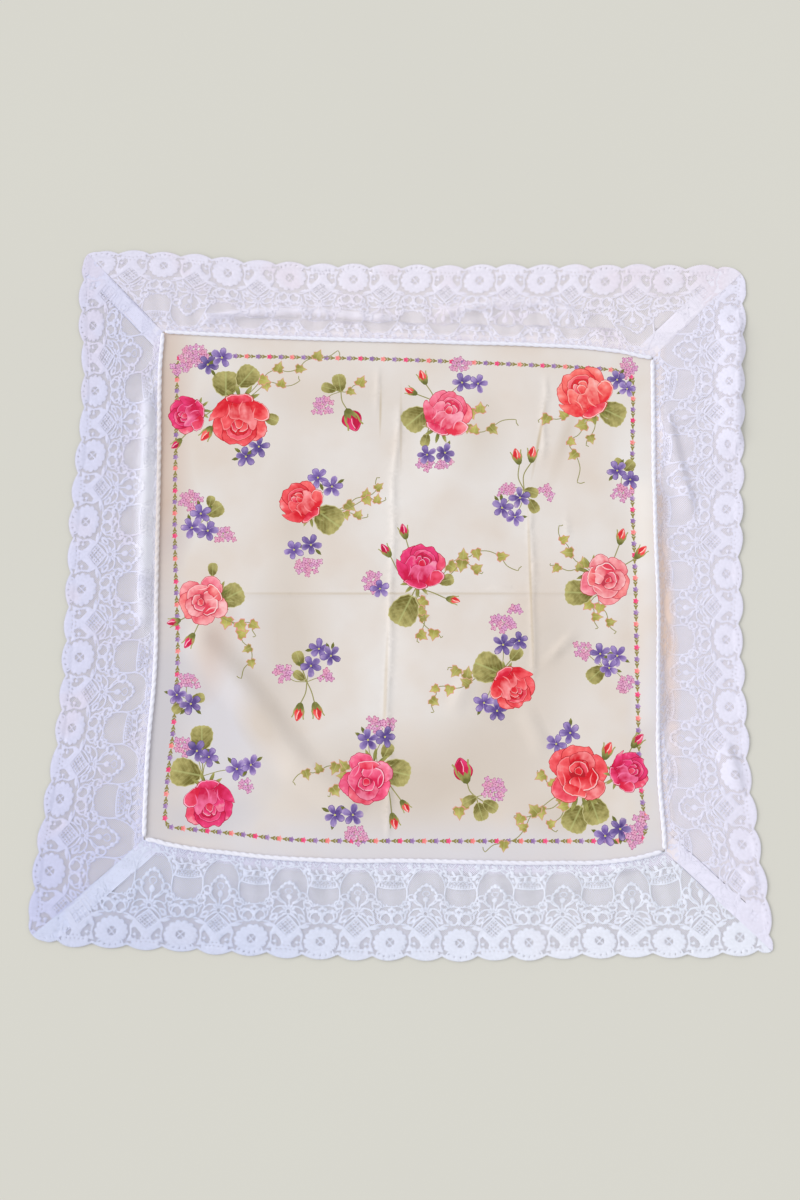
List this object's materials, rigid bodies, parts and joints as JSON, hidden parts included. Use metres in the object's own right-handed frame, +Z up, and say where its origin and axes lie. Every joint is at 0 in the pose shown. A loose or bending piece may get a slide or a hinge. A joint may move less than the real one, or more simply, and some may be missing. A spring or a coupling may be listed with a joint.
{
  "type": "lace-edged scarf",
  "caption": "Square floral printed scarf with a wide scalloped white lace edging, mitred corners and a corded seam, laid out flat with its creases and soft folds.",
  "frame": {"origin": "middle of the whole outline, on the surface that the scarf lies on", "axes": "+X to the right and +Y away from the near edge, as seen from above in the picture; +Z up, out of the printed face"},
  "size_m": [0.7165, 0.7203, 0.008],
  "materials": {
    "printed_cloth": "fine plain weave, printed with small roses, violets and ivy on warm off-white",
    "lace": "soft matte cool white lace on a sheer net",
    "seam_thread": "bright white twisted thread"
  },
  "bodies": {
    "root": {"panel": "printed_cloth", "lace_top": "lace", "lace_right": "lace", "lace_bottom": "lace", "lace_left": "lace", "seam_top": "seam_thread", "seam_right": "seam_thread", "seam_bottom": "seam_thread", "seam_left": "seam_thread"}
  },
  "joints": []
}
